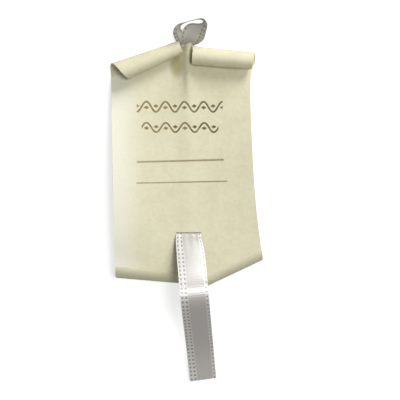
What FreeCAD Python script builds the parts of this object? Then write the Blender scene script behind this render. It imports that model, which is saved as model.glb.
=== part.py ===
import FreeCAD, Part

import math
import os

from FreeCAD import Placement, Rotation, Vector

# A small parchment favour scroll lying on its back. One sheet has its upper corners rolled
# forward and its lower corners curled backward. A narrow satin ribbon hangs in front, goes
# through a slit, runs up behind the sheet and ends in a loop above it.
# Millimetres and degrees. +X is the reader's right, +Y the top of the sheet and +Z the
# reader's side. The back face of the sheet is at height 0 until the scroll is laid down.

# Driving dimensions: name, value, meaning
SIZES = [
    ("sheet_thickness", 0.3, "parchment card"),
    ("top_left_reach", 17.2, "centre line to the left edge at the upper fold"),
    ("top_left_height", 27.65, "height of the outer end of that fold"),
    ("top_left_slant", 22.4, "angle at which the fold climbs inwards"),
    ("top_left_flare", 5.6, "angle at which the side edge leans out there"),
    ("top_left_radius", 2.75, "roll at the edge of the sheet"),
    ("top_left_inner_radius", 1.7, "roll beside the notch"),
    ("top_right_reach", 15.6, "centre line to the right edge at the upper fold"),
    ("top_right_height", 31.0, "height of the outer end of that fold"),
    ("top_right_slant", 5.15, "angle at which the fold climbs inwards"),
    ("top_right_radius", 2.1, "roll at the edge of the sheet"),
    ("top_right_inner_radius", 2.3, "roll beside the notch"),
    ("notch_left", 1.3, "centre line to the inner end of the upper left roll"),
    ("notch_right", 1.3, "centre line to the inner end of the upper right roll"),
    ("tab_height", 2.45, "tab between the rolls, above the inner end of the right fold"),
    ("tab_gap", 0.2, "tab to the roll beside it"),
    ("roll_turn", 320, "angle through which an upper corner is rolled"),
    ("bottom_left_reach", 16.3, "centre line to the left edge at the lower fold"),
    ("bottom_left_height", -15.3, "height of the outer end of that fold"),
    ("bottom_left_slant", 5.5, "angle at which the fold falls inwards"),
    ("bottom_left_radius", 2.5, "curl at the edge of the sheet"),
    ("bottom_left_inner_radius", 2.3, "curl under the ribbon"),
    ("bottom_right_reach", 17.0, "centre line to the right edge at the lower fold"),
    ("bottom_right_height", -11.35, "height of the outer end of that fold"),
    ("bottom_right_slant", 25.8, "angle at which the fold falls inwards"),
    ("bottom_right_flare", 10, "angle at which the side edge leans out there"),
    ("bottom_right_radius", 2.3, "curl at the edge of the sheet"),
    ("bottom_right_inner_radius", 2.1, "curl under the ribbon"),
    ("tail_notch_left", 2.4, "centre line to the inner end of the lower left curl"),
    ("tail_notch_right", 3.1, "centre line to the inner end of the lower right curl"),
    ("curl_turn", 235, "angle through which a lower corner is curled"),
    ("tightening", 0.22, "share by which a radius shrinks towards the free edge"),
    ("left_rise", 1.3, "height of the left edge half way down"),
    ("right_rise", 0.9, "height of the right edge half way down"),
    ("right_waist", 1.45, "distance by which the right edge is drawn in"),
    ("slit_height", -7.7, "height of the slit for the ribbon"),
    ("slit_offset", 0.5, "centre of the slit from the centre line"),
    ("slit_gap", 1.1, "opening of the slit along the sheet"),
    ("slit_end_clearance", 0.25, "selvedge of the ribbon to the end of the slit"),
    ("ribbon_width", 6.35, "quarter inch satin ribbon"),
    ("ribbon_thickness", 0.22, "double face satin"),
    ("ribbon_clearance", 0.12, "ribbon to sheet and ribbon to ribbon"),
    ("tail_length", 34.5, "ribbon seen below the slit"),
    ("tail_lean", 5.4, "angle between the tail and the sheet's length"),
    ("tail_arch", 6.3, "height of the tail's arch above the sheet"),
    ("tail_twist", 18, "angle through which the cut end is turned"),
    ("loop_reach", 40.0, "height of the loop's crest"),
    ("loop_width", 4.6, "loop from turn to turn, between the middles of the ribbon"),
    ("loop_stand", 104, "angle at which the ribbon stands on its edge at the crest"),
    ("tuck_length", 9.0, "end of the ribbon that is held behind the sheet"),
]

UP = Vector(0, 0, 1)
ROLL_STEPS = 14
SAME_WAY = 1
LEVELLING_STEPS = 5


def sizes_sheet(doc):
    sheet = doc.addObject("Spreadsheet::Sheet", "sizes")
    for row, (name, value, meaning) in enumerate(SIZES, start=1):
        sheet.set(f"A{row}", name)
        sheet.set(f"B{row}", str(value))
        sheet.set(f"C{row}", meaning)
        sheet.setAlias(f"B{row}", name)
    doc.recompute()
    return sheet


def feature(doc, name, shape):
    made = doc.addObject("Part::Feature", name)
    made.Shape = shape
    return made


def ruled(doc, name, first, second):
    """The surface of straight lines between two edges that are cut at the same parameters."""
    made = doc.addObject("Part::RuledSurface", name)
    made.Curve1 = (first, [""])
    made.Curve2 = (second, [""])
    made.Orientation = "Forward"
    return made


def thickened(doc, name, source, thickness):
    """The solid on a surface. A surface that faces the reader grows towards the reader."""
    made = doc.addObject("Part::Offset", name)
    made.Source = source
    made.Fill = True
    made.setExpression("Value", thickness)
    return made


def stretches(curve):
    """The curve as a row of edges from knot to knot."""
    knots = curve.getKnots()
    edges = []
    for start, end in zip(knots, knots[1:]):
        part = curve.copy()
        part.segment(start, end)
        edges.append(part.toShape())
    return edges


def smooth_edge(points, parameters, start_direction):
    """A row of edges along one smooth curve through the points."""
    last = points[-1] - points[-2]
    end_direction = last * (1 / (parameters[-1] - parameters[-2]))
    curve = Part.BSplineCurve()
    curve.interpolate(
        Points=points,
        Parameters=parameters,
        InitialTangent=start_direction,
        FinalTangent=end_direction,
        Scale=False,
    )
    return Part.Wire(stretches(curve))


class Corner:
    """A corner of the sheet that leaves it along a straight fold and rolls up.

    side is -1 for a left corner and 1 for a right one. toward is 1 for an upper corner,
    which rolls forward, and -1 for a lower one, which curls backward.
    """

    def __init__(self, sizes, name, side, toward, notch, turn, flare):
        slant = math.radians(sizes.get(f"{name}_slant"))
        reach = sizes.get(f"{name}_reach")
        self.name = name
        self.side = side
        self.toward = toward
        self.inward = Vector(-side * math.cos(slant), toward * math.sin(slant), 0)
        self.outward = Vector(side * math.sin(slant), toward * math.cos(slant), 0)
        self.outer = Vector(side * reach, sizes.get(f"{name}_height"), 0)
        self.inner = self.outer + self.inward * ((reach - side * notch) / math.cos(slant))
        self.radius = sizes.get(f"{name}_radius")
        self.inner_radius = sizes.get(f"{name}_inner_radius")
        self.drift = math.tan(slant - math.radians(flare))
        self.turn = math.radians(turn)
        self.tightening = sizes.tightening

    def rolled_edge(self, start, radius, drift):
        """An edge that leaves the fold at start and winds up, drifting along the roll.

        It stays on the cone between the roll's two ends, so that the paper isn't stretched.
        """
        taper = (self.inner_radius - self.radius) / (self.inner - self.outer).Length
        angles = [self.turn * step / ROLL_STEPS for step in range(ROLL_STEPS + 1)]
        points = []
        for angle in angles:
            shift = drift * radius * angle
            wide = radius + taper * shift
            tight = wide * (1 - self.tightening * (angle / self.turn) ** 2)
            across = self.outward * (tight * math.sin(angle))
            lift = UP * (self.toward * (wide - tight * math.cos(angle)))
            points.append(start + across + lift + self.inward * shift)
        start_direction = (self.outward + self.inward * drift) * radius
        return smooth_edge(points, angles, start_direction)

    def lowest(self, thickness):
        """The deepest points of a lower corner, at half a turn of each end."""
        half_turn = 1 - self.tightening * (math.pi / self.turn) ** 2
        ends = ((self.outer, self.radius), (self.inner, self.inner_radius))
        return [start - UP * (radius * (1 + half_turn) + thickness) for start, radius in ends]

    def make(self, doc):
        outer = feature(
            doc, f"{self.name}_side_edge", self.rolled_edge(self.outer, self.radius, self.drift)
        )
        inner = feature(
            doc, f"{self.name}_inner_edge", self.rolled_edge(self.inner, self.inner_radius, 0)
        )
        pair = (inner, outer) if self.side == -self.toward else (outer, inner)
        surface = ruled(doc, f"{self.name}_surface", *pair)
        return thickened(doc, f"{self.name}_roll", surface, "sizes.sheet_thickness")


# Shares of the way down a side panel and across it at which its control points stand
DOWN_THE_PANEL = (0, 0.03, 0.08, 0.16, 0.3, 0.45, 0.6, 0.75, 0.88, 0.95, 1)
ACROSS_THE_PANEL = (0, 0.3, 0.55, 0.8, 1)
WAIST_ONSET = 24
WAIST_END = 4
DEGREE = 3


def skin(poles):
    """The smooth surface of a net of control points, which holds the net's four edges."""
    knots = []
    multiplicities = []
    for count in (len(poles), len(poles[0])):
        spans = count - DEGREE
        knots.append(list(range(spans + 1)))
        multiplicities.append([DEGREE + 1] + [1] * (spans - 1) + [DEGREE + 1])
    surface = Part.BSplineSurface()
    surface.buildFromPolesMultsKnots(
        poles, *multiplicities, *knots, False, False, DEGREE, DEGREE
    )
    return surface.toShape()


def side_panel(doc, name, above, below, rise, waist):
    """Half of the flat part, whose side edge stands up a little and may be drawn in.

    The first and last two rows and the first two columns of control points lie in the
    sheet's plane, so that the panel leaves the folds and the middle strip without a crease.
    """
    rows = []
    for down in DOWN_THE_PANEL:
        inner = above.inner * (1 - down) + below.inner * down
        outer = above.outer * (1 - down) + below.outer * down
        drawn_in = (1 - (1 - down) ** WAIST_ONSET) * (1 - down**WAIST_END)
        free = DOWN_THE_PANEL[1] < down < DOWN_THE_PANEL[-2]
        swell = math.sin(math.pi * down) if free else 0
        row = []
        for out in ACROSS_THE_PANEL:
            flat = inner + (outer - inner) * out
            lift = rise * swell * out**2 if out > ACROSS_THE_PANEL[1] else 0
            row.append(flat + Vector(-above.side * waist * drawn_in * out**2, 0, lift))
        rows.append(row if above.side > 0 else row[::-1])
    face = feature(doc, f"{name}_surface", skin(rows))
    return thickened(doc, name, face, "sizes.sheet_thickness")


def tab_tip(sizes, corners):
    """The highest point of the unrolled paper between the two upper rolls."""
    return corners["top_right"].inner + Vector(-sizes.tab_gap, sizes.tab_height, 0)


def middle_panel(doc, sizes, corners):
    """The flat strip between the notches, which the slit crosses."""
    names = ("top_left", "bottom_left", "bottom_right", "top_right")
    outline = [corners[name].inner for name in names] + [tab_tip(sizes, corners)]
    face = feature(doc, "middle_outline", Part.Face(Part.makePolygon(outline + outline[:1])))
    made = doc.addObject("Part::Extrusion", "middle_panel")
    made.Base = face
    made.DirMode = "Custom"
    made.Dir = UP
    made.setExpression("LengthFwd", "sizes.sheet_thickness")
    made.Solid = True
    return made


def slit(doc):
    made = doc.addObject("Part::Box", "slit")
    made.setExpression("Length", "sizes.ribbon_width + 2 * sizes.slit_end_clearance")
    made.setExpression("Width", "sizes.slit_gap")
    made.setExpression("Height", "3 * sizes.sheet_thickness")
    left_end = "sizes.slit_offset - sizes.ribbon_width / 2 - sizes.slit_end_clearance"
    made.setExpression("Placement.Base.x", left_end)
    made.setExpression("Placement.Base.y", "sizes.slit_height - sizes.slit_gap / 2")
    made.setExpression("Placement.Base.z", "-sizes.sheet_thickness")
    return made


def paper_scroll(doc, sizes, corners):
    panels = [
        side_panel(doc, "left_panel", corners["top_left"], corners["bottom_left"],
                   sizes.left_rise, 0),
        middle_panel(doc, sizes, corners),
        side_panel(doc, "right_panel", corners["top_right"], corners["bottom_right"],
                   sizes.right_rise, sizes.right_waist),
    ]
    rolls = [corner.make(doc) for corner in corners.values()]
    sheet = doc.addObject("Part::MultiFuse", "sheet")
    sheet.Shapes = panels + rolls
    cut = doc.addObject("Part::Cut", "paper_scroll")
    cut.Base = sheet
    cut.Tool = slit(doc)
    cut.Label = "paper_scroll"
    return cut


class Station:
    """A place on the ribbon's middle line, with the way it runs and how it is held there.

    heading is in degrees from +X. stand is 0 where the ribbon lies flat and 90 where it
    stands on its edge, with the left selvedge up. gather is 1 where the ribbon is spread
    and less where it is drawn together.
    """

    def __init__(self, x, y, z, heading=90, stand=0, gather=1):
        heading = math.radians(heading)
        stand = math.radians(stand)
        left = Vector(-math.sin(heading), math.cos(heading), 0)
        self.middle = Vector(x, y, z)
        self.across = left * math.cos(stand) + UP * math.sin(stand)
        self.gather = gather


def ribbon_edge(stations, side, face, sizes):
    """One long edge of the ribbon: side is -1 or 1 across it, face -1 for its back."""
    poles = []
    for index, station in enumerate(stations):
        before = stations[max(index - 1, 0)].middle
        after = stations[min(index + 1, len(stations) - 1)].middle
        outward = (after - before).cross(station.across).normalize()
        half_width = station.gather * sizes.ribbon_width / 2
        selvedge = station.middle + station.across * (side * half_width)
        poles.append(selvedge + outward * (face * sizes.ribbon_thickness / 2))
    curve = Part.BSplineCurve()
    curve.buildFromPoles(poles, False, DEGREE)
    return curve


def resting_line(feet, heads):
    """The line on which the scroll lies, seen from its side: a point and a slope.

    It touches the curls at one end and the ribbon behind the sheet at the other.
    """
    slope = 0
    for _ in range(LEVELLING_STEPS):
        foot = min(feet, key=lambda point: point.z - slope * point.y)
        head = min(heads, key=lambda point: point.z - slope * point.y)
        slope = (head.z - foot.z) / (head.y - foot.y)
    return foot, slope


# The ribbon below the slit. Columns: share of the tail's length from the slit, share of the
# arch's height above the end
TAIL = (
    (1, 0),
    (0.9, 0.06),
    (0.78, 0.25),
    (0.65, 0.55),
    (0.52, 0.84),
    (0.42, 1.01),
    (0.32, 1.05),
    (0.22, 0.97),
    (0.12, 0.8),
)


def tail_stations(sizes, foot, slope):
    """From the cut end on the floor, up to the arch and down into the slit."""
    lean = math.radians(sizes.tail_lean)
    arch = sizes.sheet_thickness + sizes.tail_arch
    end = sizes.slit_height - sizes.tail_length * math.cos(lean)
    low_selvedge = sizes.ribbon_width / 2 * math.sin(math.radians(sizes.tail_twist))
    floor = foot.z + slope * (end - foot.y) + low_selvedge + sizes.ribbon_thickness / 2
    stations = []
    for away, share in TAIL:
        run = sizes.tail_length * away
        x = sizes.slit_offset + math.sin(lean) * run
        y = sizes.slit_height - math.cos(lean) * run
        twist = sizes.tail_twist * max(0, 2 * away - 1)
        stations.append(
            Station(x, y, floor + (arch - floor) * share, 90 + sizes.tail_lean, twist)
        )
    return stations


def slit_stations(sizes):
    """Down through the slit to the back of the sheet."""
    above = sizes.sheet_thickness + 2 * sizes.ribbon_clearance
    below = -2 * sizes.ribbon_thickness - sizes.ribbon_clearance
    gap = sizes.slit_gap
    x = sizes.slit_offset
    y = sizes.slit_height
    return [
        Station(x, y - 1.5 * gap, above + 0.9 * gap),
        Station(x, y - 0.5 * gap, above),
        Station(x, y + 0.5 * gap, below),
        Station(x, y + 1.5 * gap, below),
        Station(x, y + 4 * gap, below),
    ]


# The ribbon round the loop. Columns: share of half the loop's width from the centre line,
# share of the loop's rise above the tab, share of half the ribbon's width above the sheet,
# heading, share of the crest's stand, share of the ribbon's full width
LOOP = (
    (-0.22, 0.11, -0.27, 104, 0, 0.44),
    (-0.44, 0.37, 0.12, 108, 0.30, 0.60),
    (-0.72, 0.42, 0.55, 104, 0.66, 0.90),
    (-0.82, 0.57, 0.85, 88, 0.85, 1),
    (-0.76, 0.74, 0.96, 62, 0.94, 1),
    (-0.48, 0.86, 0.98, 24, 0.98, 1),
    (0.13, 0.91, 0.98, 10, 1, 1),
    (0.78, 0.96, 0.98, 10, 1, 1),
    (1.35, 1, 0.98, 4, 1, 1),
    (1.63, 0.96, 0.99, -35, 0.98, 1),
    (1.76, 0.84, 1.02, -78, 0.94, 1),
    (1.65, 0.70, 1.07, -108, 0.79, 1),
    (1.30, 0.59, 1.10, -118, 0.56, 1),
    (0.91, 0.48, 1.07, -118, 0.37, 0.94),
    (0.63, 0.35, 0.91, -112, 0.23, 0.84),
    (0.43, 0.22, 0.63, -104, 0.12, 0.74),
    (0.30, 0.20, 0.26, -98, 0.04, 0.58),
    (0.20, 0.09, -0.04, -94, 0, 0.48),
)
NOTCH_FILL = 0.85


def loop_stations(sizes, corners):
    """Up behind the sheet, through the notch, round the standing loop and back again."""
    layer = sizes.ribbon_thickness + sizes.ribbon_clearance
    notch = (corners["top_left"].inner + corners["top_right"].inner) * 0.5
    rim = tab_tip(sizes, corners).y
    rise = sizes.loop_reach - rim
    width = sizes.loop_width / 2
    high = sizes.ribbon_width / 2
    pinch = NOTCH_FILL * (sizes.notch_left + sizes.notch_right) / sizes.ribbon_width
    tuck = sizes.tuck_length
    y = notch.y
    stations = [
        Station(0.2, 0.6 * y, -2.2 * layer),
        Station(0, 0.86 * y, -2.3 * layer, 90, 0, 0.8),
        Station(0, y - layer, -2.2 * layer, 90, 0, pinch),
        Station(-0.05, rim - layer, -2.1 * layer, 94, 0, pinch),
    ]
    for out, up, above, heading, stand, gather in LOOP:
        stations.append(
            Station(width * out, rim + rise * up, high * above, heading,
                    sizes.loop_stand * stand, gather)
        )
    stations += [
        Station(0.1, rim - layer, -1.15 * layer, -92, 0, 0.42),
        Station(0, y + layer, -1.15 * layer, -90, 0, pinch),
        Station(0, y - layer, -1.15 * layer, -90, 0, pinch),
        Station(0, y - 0.4 * tuck, -1.2 * layer, -90, 0, 0.8),
        Station(0, y - tuck, -1.15 * layer, -90, 0, 1),
    ]
    return stations


def satin_ribbon(doc, sizes, stations):
    """The ribbon's solid between its four long edges."""
    section = ((-1, -1), (1, -1), (1, 1), (-1, 1))
    rows = [stretches(ribbon_edge(stations, side, face, sizes)) for side, face in section]
    faces = []
    for index, row in enumerate(rows):
        for edge, neighbour in zip(row, rows[index - 1]):
            faces.append(Part.makeRuledSurface(edge, neighbour, SAME_WAY))
    for end in (0, -1):
        ring = [row[end].Vertexes[end].Point for row in rows]
        faces.append(Part.Face(Part.makePolygon(ring + ring[:1])))
    shell = Part.makeShell(faces)
    shell.sewShape()
    solid = Part.makeSolid(shell)
    if solid.Volume < 0:
        solid.reverse()
    return feature(doc, "satin_ribbon", solid)


def lie_down(pieces, slope):
    """Puts the scroll on its curls, over the origin."""
    turn = Rotation(Vector(1, 0, 0), -math.degrees(math.atan(slope)))
    for piece in pieces:
        piece.Placement = Placement(Vector(), turn)
    whole = Part.makeCompound([piece.Shape for piece in pieces]).optimalBoundingBox()
    shift = Vector(-whole.Center.x, -whole.Center.y, -whole.ZMin)
    for piece in pieces:
        piece.Placement = Placement(shift, turn)


def write(doc, pieces):
    for made in doc.Objects:
        if "Invalid" in made.State or "Error" in made.State:
            raise RuntimeError(f"{made.Label} failed: {made.State}")
    os.makedirs("parts", exist_ok=True)
    for piece in pieces:
        shape = piece.Shape
        if shape.isNull() or not shape.isValid() or len(shape.Solids) != 1:
            raise RuntimeError(f"{piece.Label} isn't one valid solid")
        shape.exportStep(f"parts/{piece.Label}.step")


def main():
    doc = FreeCAD.newDocument("favour_scroll")
    sizes = sizes_sheet(doc)
    layout = (
        ("top_left", -1, 1, -sizes.notch_left, sizes.roll_turn, sizes.top_left_flare),
        ("top_right", 1, 1, sizes.notch_right, sizes.roll_turn, 0),
        ("bottom_left", -1, -1, sizes.tail_notch_left, sizes.curl_turn, 0),
        ("bottom_right", 1, -1, sizes.tail_notch_right, sizes.curl_turn,
         sizes.bottom_right_flare),
    )
    corners = {row[0]: Corner(sizes, *row) for row in layout}
    loop = loop_stations(sizes, corners)
    feet = [point for corner in corners.values() if corner.toward < 0
            for point in corner.lowest(sizes.sheet_thickness)]
    heads = [station.middle - station.across * (station.gather * sizes.ribbon_width / 2)
             for station in loop if station.middle.y > 0]
    foot, slope = resting_line(feet, heads)
    stations = tail_stations(sizes, foot, slope) + slit_stations(sizes) + loop
    sheet = paper_scroll(doc, sizes, corners)
    ribbon = satin_ribbon(doc, sizes, stations)
    doc.recompute()
    lie_down((sheet, ribbon), slope)
    doc.recompute()
    write(doc, (sheet, ribbon))


main()
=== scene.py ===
import math

import bmesh
import bpy
import numpy as np
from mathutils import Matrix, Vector


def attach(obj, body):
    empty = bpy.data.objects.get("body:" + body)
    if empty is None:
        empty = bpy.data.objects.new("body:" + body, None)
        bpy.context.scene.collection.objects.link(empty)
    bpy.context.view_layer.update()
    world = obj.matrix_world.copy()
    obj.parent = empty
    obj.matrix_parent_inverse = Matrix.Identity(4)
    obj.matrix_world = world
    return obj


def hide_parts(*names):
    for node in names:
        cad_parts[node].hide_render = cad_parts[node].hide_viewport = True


# A parchment favour scroll on its back, seen from above. Lengths below are millimetres in the
# sheet's own frame: +X right, +Y the top of the sheet, +Z towards the reader. lay() puts them
# in the part's frame, in metres.

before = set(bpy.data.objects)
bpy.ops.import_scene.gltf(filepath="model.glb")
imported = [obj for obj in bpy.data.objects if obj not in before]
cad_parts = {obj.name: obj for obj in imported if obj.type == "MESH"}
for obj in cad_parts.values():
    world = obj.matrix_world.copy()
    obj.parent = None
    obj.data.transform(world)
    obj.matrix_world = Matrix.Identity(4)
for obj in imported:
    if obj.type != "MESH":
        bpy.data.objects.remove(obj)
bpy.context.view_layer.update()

MM = 0.001
LEAN = math.radians(4.4246)
SHIFT = np.array([-0.013, 0.973, 3.798])
THICKNESS = 0.3


# Placing

def lay(points):
    """The sheet leans on its lower curls. Its own frame is turned and moved to the part's."""
    points = np.asarray(points, float)
    y = points[..., 1]
    z = points[..., 2]
    turned = points.copy()
    turned[..., 1] = y * math.cos(LEAN) + z * math.sin(LEAN)
    turned[..., 2] = z * math.cos(LEAN) - y * math.sin(LEAN)
    return (turned + SHIFT) * MM


# Numbers

def unit(vector):
    length = np.linalg.norm(vector, axis=-1, keepdims=True)
    return vector / np.maximum(length, 1e-12)


def weights(count, params):
    """Cubic spline weights of control points at parameters from 0 to 1."""
    spans = count - 3
    knots = np.concatenate(([0] * 3, np.arange(spans + 1), [spans] * 3)).astype(float)
    at = np.minimum(np.asarray(params, float) * spans, spans - 1e-9)[:, None]
    table = ((knots[:-1] <= at) & (at < knots[1:])).astype(float)
    for degree in range(1, 4):
        size = table.shape[1] - 1
        low = knots[degree:degree + size] - knots[:size]
        high = knots[degree + 1:degree + 1 + size] - knots[1:1 + size]
        rising = np.where(low > 0, (at - knots[:size]) / np.where(low > 0, low, 1), 0)
        falling = np.where(high > 0, (knots[degree + 1:degree + 1 + size] - at)
                           / np.where(high > 0, high, 1), 0)
        table = rising * table[:, :-1] + falling * table[:, 1:]
    return table


# Meshes

def quad_faces(quads, flip):
    return [quad[::-1] if flip else quad for quad in quads]


def grid_faces(rows, columns, start=0, flip=False):
    corners = [start + j * columns + i for j in range(rows - 1) for i in range(columns - 1)]
    return quad_faces([(a, a + 1, a + 1 + columns, a + columns) for a in corners], flip)


def mesh_object(name, points, faces, uvs=None):
    mesh = bpy.data.meshes.new(name)
    mesh.from_pydata([tuple(p) for p in points], [], faces)
    if uvs is not None:
        layer = mesh.uv_layers.new(name="flat")
        index = np.zeros(len(mesh.loops), int)
        mesh.loops.foreach_get("vertex_index", index)
        layer.data.foreach_set("uv", np.asarray(uvs, float)[index].ravel())
    mesh.update()
    made = bpy.data.objects.new(name, mesh)
    bpy.context.scene.collection.objects.link(made)
    return made


# The sheet

# A roll's radius shrinks by this share towards its free edge
TIGHTENING = 0.22


class Corner:
    """A corner of the sheet that is rolled up from a slanted fold.

    side is -1 left and 1 right. toward is 1 for the upper corners, which roll to the front,
    and -1 for the lower ones, which curl to the back. reach and height place the fold's outer
    end and notch is where its inner end lies across. slant, turn and flare are in degrees.
    """

    def __init__(self, side, toward, reach, height, slant, radius, inner_radius, notch,
                 turn, flare=0):
        slant = math.radians(slant)
        self.side = side
        self.toward = toward
        self.inward = np.array([-side * math.cos(slant), toward * math.sin(slant), 0])
        self.outward = np.array([side * math.sin(slant), toward * math.cos(slant), 0])
        self.outer = np.array([side * reach, height, 0.0])
        self.length = (reach - side * notch) / math.cos(slant)
        self.inner = self.outer + self.inward * self.length
        self.radius = radius
        self.inner_radius = inner_radius
        self.turn = math.radians(turn)
        self.drift = math.tan(slant - math.radians(flare))

    def edge(self, start, radius, drift, angles):
        taper = (self.inner_radius - self.radius) / self.length
        shift = drift * radius * angles
        wide = radius + taper * shift
        tight = wide * (1 - TIGHTENING * (angles / self.turn) ** 2)
        up = np.array([0, 0, 1.0])
        return (start + np.outer(tight * np.sin(angles), self.outward)
                + np.outer(self.toward * (wide - tight * np.cos(angles)), up)
                + np.outer(shift, self.inward))

    def surface(self, shares, angles):
        """Rows by angle from the fold, columns by share of the way outwards."""
        outer = self.edge(self.outer, self.radius, self.drift, angles)
        inner = self.edge(self.inner, self.inner_radius, 0, angles)
        out = np.asarray(shares)[None, :, None]
        return inner[:, None, :] * (1 - out) + outer[:, None, :] * out


CORNERS = {
    "top_left": Corner(side=-1, toward=1, reach=17.2, height=27.65, slant=22.4, radius=2.75,
                       inner_radius=1.7, notch=-1.3, turn=320, flare=5.6),
    "top_right": Corner(side=1, toward=1, reach=15.6, height=31.0, slant=5.15, radius=2.1,
                        inner_radius=2.3, notch=1.3, turn=320),
    "bottom_left": Corner(side=-1, toward=-1, reach=16.3, height=-15.3, slant=5.5, radius=2.5,
                          inner_radius=2.3, notch=2.4, turn=235),
    "bottom_right": Corner(side=1, toward=-1, reach=17.0, height=-11.35, slant=25.8, radius=2.3,
                           inner_radius=2.1, notch=3.1, turn=235, flare=10),
}
# The tip of the flat tab that stands between the upper rolls
TAB_TIP = CORNERS["top_right"].inner + np.array([-0.4, 3.3, 0])

# Control rows from the upper fold down to the lower one and columns from the middle outwards
DOWN = (0, 0.03, 0.08, 0.16, 0.3, 0.45, 0.6, 0.75, 0.88, 0.95, 1)
ACROSS = (0, 0.3, 0.55, 0.8, 1)

# How far each panel's side edge stands up, and how far it is drawn in below the upper roll
LEFT_PANEL = ("left", 1.9, 0)
RIGHT_PANEL = ("right", 0.9, 1.45)

SHEET_ROWS = 150
PANEL_COLUMNS = 44
MIDDLE_COLUMNS = 28
ROLL_ROWS = 110

SLIT_X = 0.4
SLIT_Y = -7.76
SLIT_HALF_LENGTH = 3.1
SLIT_HALF_GAP = 0.24

# The paper's bulge over the ribbon, and its sharper pleat near the notch
BULGE_WIDTH = 1.7
BULGE_LOW = 0.1
BULGE_RISE = 0.2
PLEAT_X = 0.4
PLEAT_WIDTH = 0.95
PLEAT_HEIGHT = 1.1

# The rolls' flat coordinates are set to this, far from every printed mark
OFF_THE_PRINT = 200


def between(first, last, count):
    share = np.linspace(0, 1, count)[:, None]
    return first * (1 - share) + last * share


def side_net(above, below, rise, waist):
    """A panel's control points: its side edge stands up and is drawn in."""
    rows = []
    for down in DOWN:
        inner = above.inner * (1 - down) + below.inner * down
        outer = above.outer * (1 - down) + below.outer * down
        drawn_in = (1 - (1 - down) ** 24) * (1 - down ** 4)
        swell = math.sin(math.pi * down) if DOWN[1] < down < DOWN[-2] else 0
        row = []
        for out in ACROSS:
            flat = inner + (outer - inner) * out
            lift = rise * swell * out ** 2 if out > ACROSS[1] else 0
            row.append(flat + np.array([-above.side * waist * drawn_in * out ** 2, 0, lift]))
        rows.append(row)
    return np.array(rows)


def ridge(points):
    """The sheet bulges a little over the ribbon behind it and is pleated near the notch."""
    x = points[..., 0]
    y = points[..., 1]
    middle = 0.2 + 0.006 * (y - 10)
    above_slit = np.clip((y + 7.5) / 4, 0, 1)
    toward_top = np.clip((y + 6) / 34, 0, 1) ** 2
    near_notch = np.clip((y - 21.5) / 9, 0, 1) ** 1.3
    bulge = np.exp(-((x - middle) / BULGE_WIDTH) ** 2) * above_slit
    pleat = np.exp(-((x - PLEAT_X) / PLEAT_WIDTH) ** 2) * near_notch
    return bulge * (BULGE_LOW + BULGE_RISE * toward_top) + PLEAT_HEIGHT * pleat


def sheet_mesh():
    """Two side panels, four rolled corners and the middle strip, each as one grid."""
    weights_down = weights(len(DOWN), np.linspace(0, 1, SHEET_ROWS))
    weights_across = weights(len(ACROSS), np.linspace(0, 1, PANEL_COLUMNS))
    shares = weights_across @ np.array(ACROSS)
    heights = weights_down @ np.array(DOWN)
    points = []
    faces = []
    uvs = []

    def add(grid, flat, flip):
        rows, columns = grid.shape[:2]
        faces.extend(grid_faces(rows, columns, len(points), flip))
        points.extend(grid.reshape(-1, 3))
        uvs.extend(flat.reshape(-1, 2))

    for side, rise, waist in (LEFT_PANEL, RIGHT_PANEL):
        above = CORNERS["top_" + side]
        below = CORNERS["bottom_" + side]
        net = side_net(above, below, rise, waist)
        grid = np.einsum("ja,ib,abk->jik", weights_down, weights_across, net)
        add(grid, grid[..., :2], above.side > 0)
        for corner in (above, below):
            grid = corner.surface(shares, np.linspace(0, corner.turn, ROLL_ROWS))
            flat = np.full(grid.shape[:2] + (2,), float(OFF_THE_PRINT))
            flat[0] = grid[0, :, :2]
            add(grid, flat, (corner.side > 0) != (corner.toward > 0))
    top = between(CORNERS["top_left"].inner, TAB_TIP, MIDDLE_COLUMNS - 1)
    top = np.concatenate((top, CORNERS["top_right"].inner[None]))
    foot = between(CORNERS["bottom_left"].inner, CORNERS["bottom_right"].inner, MIDDLE_COLUMNS)
    share = heights[:, None, None]
    grid = top[None] * (1 - share) + foot[None] * share
    add(grid, grid[..., :2], True)
    return np.array(points), faces, np.array(uvs)


def cut_slit(mesh):
    """Cuts the flat sheet along the slit's four sides and takes out what lies between."""
    shape = bmesh.new()
    shape.from_mesh(mesh)
    bmesh.ops.remove_doubles(shape, verts=shape.verts, dist=1e-4)

    def faces_within(half_length, half_gap):
        """The flat sheet's faces around the slit's middle, without those of the curls."""
        found = []
        for face in shape.faces:
            middle = face.calc_center_median()
            across = abs(middle.x - SLIT_X) < half_length
            if across and abs(middle.y - SLIT_Y) < half_gap and middle.z > -1:
                found.append(face)
        return found

    def cut(place, direction):
        near = faces_within(half_length=5, half_gap=2.5)
        edges = set(edge for face in near for edge in face.edges)
        verts = set(vert for face in near for vert in face.verts)
        bmesh.ops.bisect_plane(shape, geom=list(verts) + list(edges) + near,
                               plane_co=place, plane_no=direction)

    for end in (1, -1):
        cut((SLIT_X, SLIT_Y + end * SLIT_HALF_GAP, 0), (0, 1, 0))
    for end in (1, -1):
        cut((SLIT_X + end * SLIT_HALF_LENGTH, SLIT_Y, 0), (1, 0, 0))
    inside = faces_within(SLIT_HALF_LENGTH, SLIT_HALF_GAP)
    bmesh.ops.delete(shape, geom=inside, context="FACES")
    shape.to_mesh(mesh)
    shape.free()


def apply_modifiers(made):
    graph = bpy.context.evaluated_depsgraph_get()
    mesh = bpy.data.meshes.new_from_object(made.evaluated_get(graph))
    made.modifiers.clear()
    made.data = mesh


def smooth(made, angle):
    for polygon in made.data.polygons:
        polygon.use_smooth = True
    made.data.set_sharp_from_angle(angle=math.radians(angle))


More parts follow.
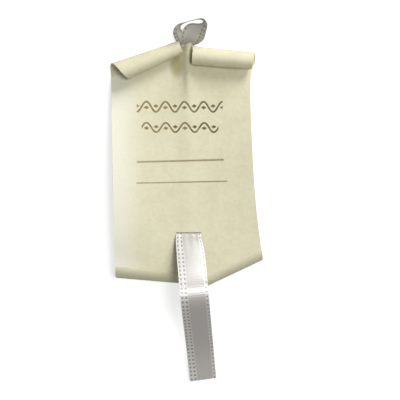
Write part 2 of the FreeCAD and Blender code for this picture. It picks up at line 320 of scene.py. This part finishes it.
def make_sheet():
    points, faces, uvs = sheet_mesh()
    plain = uvs[:, 0] < OFF_THE_PRINT / 2
    points[plain, 2] += ridge(points[plain])
    made = mesh_object("parchment_sheet", points, faces, uvs)
    cut_slit(made.data)
    thick = made.modifiers.new("thickness", "SOLIDIFY")
    thick.thickness = THICKNESS
    thick.offset = 1
    thick.use_even_offset = True
    apply_modifiers(made)
    places = np.zeros(len(made.data.vertices) * 3)
    made.data.vertices.foreach_get("co", places)
    made.data.vertices.foreach_set("co", lay(places.reshape(-1, 3)).ravel())
    made.data.update()
    smooth(made, 40)
    return made


# The ribbon

RIBBON_WIDTH = 6.35
RIBBON_THICKNESS = 0.2
RIBBON_ROWS = 1100
RIBBON_COLUMNS = 31

# The hanging tail runs down from the slit, a little to the right, and arches forward
TAIL_START = (0.5, -7.7)
TAIL_LENGTH = 34.5
TAIL_HEADING = 95.4
TAIL_LEAN = 5.4
TAIL_LOW = -5.956
TAIL_ARCH = 6.6
TAIL_TWIST = 7
TAIL_END_TWIST = 9

# Distance between the layers in the notch, and the ribbon's gathered width there
LAYER = 0.34
PINCH = 0.348


def station(x, y, z, heading=90, stand=0, gather=1):
    """A place of the ribbon's middle, the direction across it and its share of full width."""
    heading = math.radians(heading)
    stand = math.radians(stand)
    left = np.array([-math.sin(heading), math.cos(heading), 0])
    across = left * math.cos(stand) + np.array([0, 0, 1.0]) * math.sin(stand)
    return np.array([x, y, z]), across, gather


# From the tail's end up: share of its length from the slit, share of the arch's height
TAIL = (
    (1, 0),
    (0.9, 0.11),
    (0.78, 0.25),
    (0.65, 0.55),
    (0.52, 0.88),
    (0.42, 1.07),
    (0.32, 1.05),
    (0.22, 0.9),
    (0.12, 0.7),
)
# Over the sheet's foot and back through the slit, in the same columns as LOOP
THROUGH_SLIT = (
    (0.42, -9.35, 1.5, 92, 0, 0.92),
    (0.4, -8.4, 0.62, 90, 0, 0.89),
    (0.4, -7.92, 0.5, 90, 0, 0.89),
    (0.4, -7.5, -0.5, 90, 0, 0.89),
    (0.4, -6.9, -0.56, 90, 0, 0.9),
    (0.5, -6.05, -0.56, 90, 0, 1),
    (0.5, -3.3, -0.56, 90, 0, 1),
)
# Round the loop: x, y, z, heading, stand, share of the ribbon's full width
LOOP = (
    (-0.51, 35.3, -0.86, 104, 0, 0.44),
    (-1.05, 36.8, 0.35, 108, 31, 0.62),
    (-1.7, 37.4, 1.75, 104, 58, 0.9),
    (-1.9, 38.2, 2.7, 92, 76, 1),
    (-1.65, 39.0, 3.1, 66, 90, 1),
    (-1.0, 39.55, 3.1, 34, 97, 1),
    (0.25, 40.0, 3.1, 18, 98, 1),
    (1.75, 40.4, 3.1, 15, 98, 1),
    (3.0, 40.65, 3.1, 4, 98, 1),
    (3.75, 40.4, 3.15, -40, 96, 1),
    (3.95, 39.8, 3.3, -86, 84, 1),
    (3.55, 39.3, 3.4, -112, 66, 1),
    (2.8, 38.9, 3.4, -122, 50, 1),
    (2.05, 38.2, 3.2, -118, 38, 1),
    (1.6, 37.3, 2.6, -108, 26, 0.95),
    (1.35, 36.5, 1.8, -102, 14, 0.84),
    (1.0, 35.9, 0.8, -98, 4, 0.68),
    (0.6, 35.35, -0.12, -94, 0, 0.5),
)


def ribbon_stations():
    lean = math.radians(TAIL_LEAN)
    notch = (CORNERS["top_left"].inner[1] + CORNERS["top_right"].inner[1]) / 2
    rim = TAB_TIP[1]
    made = []
    for away, share in TAIL:
        run = TAIL_LENGTH * away
        x = TAIL_START[0] + math.sin(lean) * run
        y = TAIL_START[1] - math.cos(lean) * run
        z = TAIL_LOW + (TAIL_ARCH - TAIL_LOW) * share
        twist = TAIL_TWIST + TAIL_END_TWIST * max(0, 2 * away - 1)
        made.append(station(x, y, z, TAIL_HEADING, twist))
    made += [station(*row) for row in THROUGH_SLIT]
    # Up behind the sheet and out through the notch
    made += [
        station(0.2, 0.6 * notch, -2.2 * LAYER),
        station(0, 0.86 * notch, -2.3 * LAYER, 90, 0, 0.8),
        station(0, notch - LAYER, -2.2 * LAYER, 90, 0, PINCH),
        station(-0.05, rim - LAYER, -2.1 * LAYER, 94, 0, PINCH),
    ]
    made += [station(*row) for row in LOOP]
    # Back through the notch and down to the tucked end
    made += [
        station(0.1, rim - LAYER, -1.15 * LAYER, -92, 0, 0.42),
        station(0, notch + LAYER, -1.15 * LAYER, -90, 0, PINCH),
        station(0, notch - LAYER, -1.15 * LAYER, -90, 0, PINCH),
        station(0, notch - 3.6, -1.2 * LAYER, -90, 0, 0.8),
        station(0, notch - 9.0, -1.15 * LAYER, -90, 0, 1),
    ]
    return made


def spread(first, last, out):
    return first[:, None, :] * (1 - out)[None, :, None] + last[:, None, :] * out[None, :, None]


def normals(grid):
    return unit(np.cross(np.gradient(grid, axis=0), np.gradient(grid, axis=1)))


def ribbon_grid(out):
    """Rows at even distances along the ribbon, so that its weave is even."""
    stations = ribbon_stations()
    middles = np.array([place for place, across, gather in stations])
    half = np.array([across * gather * RIBBON_WIDTH / 2 for place, across, gather in stations])
    table = weights(len(stations), np.linspace(0, 1, RIBBON_ROWS))
    grid = spread(table @ (middles - half), table @ (middles + half), out)
    steps = np.linalg.norm(np.diff(grid[:, RIBBON_COLUMNS // 2], axis=0), axis=1)
    along = np.concatenate(([0], np.cumsum(steps)))
    even = np.linspace(0, along[-1], RIBBON_ROWS)
    ends = []
    for column in (0, RIBBON_COLUMNS - 1):
        ends.append(np.stack([np.interp(even, along, grid[:, column, k]) for k in range(3)], -1))
    return spread(*ends, out), even


def pleated(grid, out, even):
    """Lengthwise pleats where the ribbon is gathered and a slight cup on the arch."""
    width = np.linalg.norm(grid[:, -1] - grid[:, 0], axis=1)
    gathered = np.clip(1 - width / RIBBON_WIDTH, 0, 1)
    pleats = 0.16 * gathered[:, None] * np.sin(2 * math.pi * 3.5 * out)[None, :]
    arch = np.exp(-((even - 33) / 5) ** 2)
    cup = 0.12 * arch[:, None] * (1 - (2 * out - 1) ** 2)[None, :]
    return grid + normals(grid) * (pleats + cup)[..., None]


def ribbon_faces():
    """Front and back grids, the two long edges and the two ends."""
    size = RIBBON_ROWS * RIBBON_COLUMNS
    faces = grid_faces(RIBBON_ROWS, RIBBON_COLUMNS, 0, True)
    faces += grid_faces(RIBBON_ROWS, RIBBON_COLUMNS, size)
    for column, flip in ((0, False), (RIBBON_COLUMNS - 1, True)):
        corners = [row * RIBBON_COLUMNS + column for row in range(RIBBON_ROWS - 1)]
        faces += quad_faces([(a, a + RIBBON_COLUMNS, a + RIBBON_COLUMNS + size, a + size)
                             for a in corners], flip)
    for row, flip in ((0, False), (RIBBON_ROWS - 1, True)):
        corners = [row * RIBBON_COLUMNS + column for column in range(RIBBON_COLUMNS - 1)]
        faces += quad_faces([(a, a + 1, a + 1 + size, a + size) for a in corners], flip)
    return faces


def make_ribbon():
    out = np.linspace(0, 1, RIBBON_COLUMNS)
    grid, even = ribbon_grid(out)
    grid = pleated(grid, out, even)
    half = normals(grid) * RIBBON_THICKNESS / 2
    points = np.concatenate(((grid + half).reshape(-1, 3), (grid - half).reshape(-1, 3)))
    across = ((out - 0.5) * RIBBON_WIDTH)[None, :]
    flat = np.stack(np.broadcast_arrays(across, even[:, None]), -1).reshape(-1, 2)
    uvs = np.concatenate((flat, flat))
    made = mesh_object("ribbon_strap", lay(points), ribbon_faces(), uvs)
    shape = bmesh.new()
    shape.from_mesh(made.data)
    bmesh.ops.recalc_face_normals(shape, faces=shape.faces)
    shape.to_mesh(made.data)
    shape.free()
    smooth(made, 60)
    return made


# Materials

def linear(red, green, blue):
    """A colour as a linear value from the eight bit numbers of the screen."""
    values = []
    for part in (red, green, blue):
        part = part / 255
        values.append(part / 12.92 if part <= 0.04045 else ((part + 0.055) / 1.055) ** 2.4)
    return (*values, 1)


PAPER_SHADE = linear(219, 214, 180)
PAPER = linear(231, 227, 197)
# Painted light for the sheet's raised left edge
PAPER_LIT_EDGE = linear(246, 244, 226)
# Painted shade for the hollow beside the notch
HOLLOW_SHADE = linear(166, 158, 108)
INK_DARK = linear(82, 58, 10)
# Lighter gold, the painted glint on the print's left part
INK_GOLD_GLINT = linear(126, 102, 34)

SATIN_SHADE = linear(176, 171, 165)
SATIN = linear(204, 200, 193)
# Painted light for the ribbon's loop
SATIN_LOOP_LIT = linear(240, 236, 226)
SELVEDGE = linear(218, 215, 209)
STITCH = linear(112, 108, 103)

WEFT_PITCH = 0.5
TWILL_PITCH = 0.62
STITCH_PITCH = 1.05
LEFT_SELVEDGE = 1.75
RIGHT_SELVEDGE = 0.8

# Distance along the ribbon from which the loop is painted paler, painted light for its shaded faces
LOOP_LIGHT_BEGINS = 72

FULL_TURN = 2 * math.pi


class Field:
    """A value that a material's nodes work out at each place of a surface."""

    def __init__(self, nodes, socket):
        self.nodes = nodes
        self.socket = socket

    def __add__(self, other):
        return self.nodes.math("ADD", self, other)

    __radd__ = __add__

    def __sub__(self, other):
        return self.nodes.math("SUBTRACT", self, other)

    def __rsub__(self, other):
        return self.nodes.math("SUBTRACT", other, self)

    def __mul__(self, other):
        return self.nodes.math("MULTIPLY", self, other)

    def __truediv__(self, other):
        return self.nodes.math("DIVIDE", self, other)

    def __abs__(self):
        return self.nodes.math("ABSOLUTE", self)


class Nodes:
    def __init__(self, name):
        self.material = bpy.data.materials.new(name)
        self.material.use_nodes = True
        self.tree = self.material.node_tree
        self.tree.nodes.clear()

    def add(self, kind, **settings):
        node = self.tree.nodes.new(kind)
        for key, value in settings.items():
            setattr(node, key, value)
        return node

    def put(self, socket, value):
        if isinstance(value, Field):
            self.tree.links.new(value.socket, socket)
        else:
            socket.default_value = value

    def math(self, operation, first, second=0.0, clamp=False):
        node = self.add("ShaderNodeMath", operation=operation, use_clamp=clamp)
        self.put(node.inputs[0], first)
        self.put(node.inputs[1], second)
        return Field(self, node.outputs[0])

    def sine(self, angle):
        return self.math("SINE", angle)

    def largest(self, first, *others):
        for other in others:
            first = self.math("MAXIMUM", first, other)
        return first

    def below(self, value, limit, soft):
        """1 where value is under limit, with a soft edge."""
        node = self.add("ShaderNodeMapRange", interpolation_type="SMOOTHSTEP")
        self.put(node.inputs["Value"], value)
        node.inputs["From Min"].default_value = limit + soft
        node.inputs["From Max"].default_value = limit - soft
        return Field(self, node.outputs["Result"])

    def stretched(self, value, low, high):
        node = self.add("ShaderNodeMapRange")
        self.put(node.inputs["Value"], value)
        node.inputs["From Min"].default_value = low
        node.inputs["From Max"].default_value = high
        return Field(self, node.outputs["Result"])

    def place(self):
        """The place in the part's frame, in millimetres."""
        node = self.add("ShaderNodeVectorMath", operation="SCALE")
        self.tree.links.new(self.add("ShaderNodeTexCoord").outputs["Object"], node.inputs[0])
        node.inputs["Scale"].default_value = 1 / MM
        return Field(self, node.outputs["Vector"])

    def flat_place(self):
        """The two coordinates on the sheet or the ribbon when it lies flat."""
        flat = self.add("ShaderNodeUVMap", uv_map="flat").outputs["UV"]
        split = self.add("ShaderNodeSeparateXYZ")
        self.tree.links.new(flat, split.inputs[0])
        return Field(self, split.outputs["X"]), Field(self, split.outputs["Y"])

    def noise(self, vector, scale, detail, rough):
        node = self.add("ShaderNodeTexNoise")
        self.put(node.inputs["Vector"], vector)
        node.inputs["Scale"].default_value = scale
        node.inputs["Detail"].default_value = detail
        node.inputs["Roughness"].default_value = rough
        return Field(self, node.outputs["Fac"])

    def mix(self, factor, first, second):
        node = self.add("ShaderNodeMix", data_type="RGBA")
        self.put(node.inputs["Factor"], factor)
        self.put(node.inputs["A"], first)
        self.put(node.inputs["B"], second)
        return Field(self, node.outputs["Result"])

    def surface(self, colour, looks, relief, strength, depth):
        """A material of one colour field, plain shader values and a fine relief."""
        shader = self.add("ShaderNodeBsdfPrincipled")
        self.put(shader.inputs["Base Color"], colour)
        for name, value in looks.items():
            shader.inputs[name].default_value = value
        bump = self.add("ShaderNodeBump")
        bump.inputs["Strength"].default_value = strength
        bump.inputs["Distance"].default_value = depth * MM
        self.put(bump.inputs["Height"], relief)
        self.tree.links.new(bump.outputs["Normal"], shader.inputs["Normal"])
        return self.output(shader)

    def output(self, shader):
        out = self.add("ShaderNodeOutputMaterial")
        self.tree.links.new(shader.outputs[0], out.inputs["Surface"])
        return self.material


def parchment():
    n = Nodes("parchment_front")
    place = n.place()
    clouds = n.noise(place, 0.22, 4, 0.6)
    flecks = n.noise(place, 1.1, 3, 0.6)
    fibre = n.noise(place, 4.0, 4, 0.7)
    worn = n.noise(place, 0.9, 2, 0.5)
    tint = clouds * 0.55 + flecks * 0.45
    colour = n.mix(n.stretched(tint, 0.34, 0.66), PAPER_SHADE, PAPER)
    x, y = n.flat_place()
    # Painted light: paler along the left edge, which stands up towards the light
    colour = n.mix(n.below(x, -12.5, 4.5) * 0.85, colour, PAPER_LIT_EDGE)
    # Gold print, painted lighter towards the left: a painted highlight on the gold ink
    gold_and_glint = n.mix(n.below(x, -2.0, 7.0), INK_DARK, INK_GOLD_GLINT)
    cover = n.math("MULTIPLY", print_marks(n, x, y), worn * 0.5 + 0.62, clamp=True)
    colour = n.mix(cover, colour, gold_and_glint)
    # Painted shade in the hollow beside the notch, under the left roll's inner end
    across = (x + 2.3) / 1.5
    along = (y - 30.4) / 2.6
    painted_shade = n.below(across * across + along * along, 0.9, 0.9) * 0.8
    colour = n.mix(painted_shade, colour, HOLLOW_SHADE)
    looks = {"Roughness": 0.62, "Specular IOR Level": 0.35}
    return n.surface(colour, looks, relief=fibre + flecks * 1.6, strength=0.35, depth=0.06)


def print_marks(n, x, y):
    """Two thin dotted rules and, above them, two rows of a plain leafy wave."""

    def rule(start, end, width, pitch):
        slope = (end[1] - start[1]) / (end[0] - start[0])
        off = abs(y - start[1] - (x - start[0]) * slope)
        inside = n.below(x, end[0], 0.05) * n.below(x * -1, -start[0], 0.05)
        dots = n.sine(x * (FULL_TURN / pitch)) * 0.28 + 0.72
        return n.below(off, width / 2, 0.06) * inside * dots

    def wave(middle, height, half, length, swing):
        ahead = x - middle
        angle = ahead * (FULL_TURN / length)
        side = n.sine(angle)
        above = y - height
        steep = n.math("COSINE", angle) * (swing * FULL_TURN / length)
        stretch = n.math("SQRT", steep * steep + 1)
        stem = n.below(abs((above - side * swing) / stretch), 0.2, 0.08)
        # A lozenge in each hollow of the wave
        cell = n.math("FRACT", ahead * (2 / length))
        along = (cell - 0.5) * (length / 2)
        away = above + n.math("SIGN", side) * (swing * 0.15)
        leaf = n.below(abs(along) / 0.62 + abs(away) / 0.42, 1.0, 0.16)
        return n.largest(stem, leaf) * n.below(abs(ahead), half, 0.05)

    return n.largest(
        rule((-11.35, 8.44), (8.44, 8.99), 0.42, 0.5),
        rule((-11.42, 3.65), (9.22, 4.10), 0.3, 0.42),
        wave(-1.6, 21.0, 9.75, 4.333, 1.15),
        wave(-1.5, 16.3, 8.75, 4.375, 1.05),
    )


def satin():
    n = Nodes("satin_ribbon")
    u, v = n.flat_place()
    from_left = RIBBON_WIDTH / 2 - u
    from_right = RIBBON_WIDTH / 2 + u
    weft = n.sine(v * (FULL_TURN / WEFT_PITCH))
    twill = n.sine((u * 1.3 + v) * (FULL_TURN / TWILL_PITCH))
    ribs = (weft + twill) * 0.5

    def stitches(distance, row, shift, size):
        """A row of round stitches at a distance from one edge."""
        cell = n.math("FRACT", v / STITCH_PITCH + shift)
        along = (cell - 0.5) * STITCH_PITCH
        out = distance - row
        return n.below(n.math("SQRT", along * along + out * out), size, 0.1)

    dots = n.largest(
        stitches(from_left, 0.42, 0.0, 0.24),
        stitches(from_left, 1.3, 0.06, 0.26),
        stitches(from_right, 0.42, 0.2, 0.2),
    )
    bands = n.largest(n.below(from_left, LEFT_SELVEDGE, 0.12),
                      n.below(from_right, RIGHT_SELVEDGE, 0.12))
    colour = n.mix((ribs + 1) * 0.5, SATIN_SHADE, SATIN)
    # Painted light: the loop is painted paler than the rest of the ribbon
    colour = n.mix(n.below(v * -1, -LOOP_LIGHT_BEGINS, 1.5) * 0.8, colour, SATIN_LOOP_LIT)
    colour = n.mix(bands, colour, SELVEDGE)
    colour = n.mix(dots * 0.85, colour, STITCH)
    looks = {"Roughness": 0.4, "IOR": 2.0, "Specular IOR Level": 1.0}
    return n.surface(colour, looks, relief=ribs * 0.4 - dots * 1.5, strength=0.4, depth=0.05)


def white_floor():
    """Evenly white for the camera, and a plain pale floor for the part's shadow."""
    n = Nodes("floor_white")
    diffuse = n.add("ShaderNodeBsdfDiffuse")
    diffuse.inputs["Color"].default_value = (0.62, 0.62, 0.62, 1)
    glow = n.add("ShaderNodeEmission")
    seen = Field(n, n.add("ShaderNodeLightPath").outputs["Is Camera Ray"])
    n.put(glow.inputs["Strength"], seen * 0.67)
    both = n.add("ShaderNodeAddShader")
    n.tree.links.new(diffuse.outputs[0], both.inputs[0])
    n.tree.links.new(glow.outputs[0], both.inputs[1])
    return n.output(both)


# The part

sheet = make_sheet()
sheet.data.materials.append(parchment())
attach(sheet, "root")
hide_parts("paper_scroll")

ribbon = make_ribbon()
ribbon.data.materials.append(satin())
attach(ribbon, "root")
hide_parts("satin_ribbon")


# Surroundings, in metres

HALF_FLOOR = 1.5
floor_corners = [(x * HALF_FLOOR, y * HALF_FLOOR, 0) for x, y in ((-1, -1), (1, -1), (1, 1), (-1, 1))]
floor = mesh_object("floor", floor_corners, [(0, 1, 2, 3)])
floor.data.materials.append(white_floor())


def area_light(name, bearing, height, away, size, level):
    """A round light. bearing and height are in degrees. level is how bright a white surface
    that faces the light looks, whatever the light's distance.
    """
    bearing = math.radians(bearing)
    height = math.radians(height)
    place = away * Vector((math.cos(bearing) * math.cos(height),
                           math.sin(bearing) * math.cos(height), math.sin(height)))
    data = bpy.data.lights.new(name, "AREA")
    data.shape = "DISK"
    data.size = size
    data.energy = level * (math.pi * away) ** 2
    made = bpy.data.objects.new(name, data)
    made.location = place
    made.rotation_euler = place.to_track_quat("Z", "Y").to_euler()
    bpy.context.scene.collection.objects.link(made)


area_light("key", bearing=60, height=27, away=0.54, size=0.30, level=0.78)
area_light("overhead", bearing=20, height=74, away=0.60, size=0.16, level=0.37)

world = bpy.data.worlds.new("room")
world.use_nodes = True
background = world.node_tree.nodes["Background"]
background.inputs["Color"].default_value = (1, 1, 1, 1)
background.inputs["Strength"].default_value = 0.22
bpy.context.scene.world = world

# The camera stands square to the sheet
PICTURE_PIXELS = 400
PIXELS_A_MM = 4.4
VIEW_WIDTH = PICTURE_PIXELS / PIXELS_A_MM
CAMERA_DISTANCE = 240
CAMERA_PLACE = (3.01, -0.17, THICKNESS + CAMERA_DISTANCE)

camera_data = bpy.data.cameras.new("camera")
camera_data.sensor_width = 36
camera_data.lens = camera_data.sensor_width * CAMERA_DISTANCE / VIEW_WIDTH
camera_data.clip_start = 0.01
camera_data.clip_end = 10
camera = bpy.data.objects.new("camera", camera_data)
camera.location = lay(CAMERA_PLACE)
camera.rotation_euler = (-LEAN, 0, 0)
bpy.context.scene.collection.objects.link(camera)
bpy.context.scene.camera = camera
bpy.context.scene.view_settings.view_transform = "Standard"
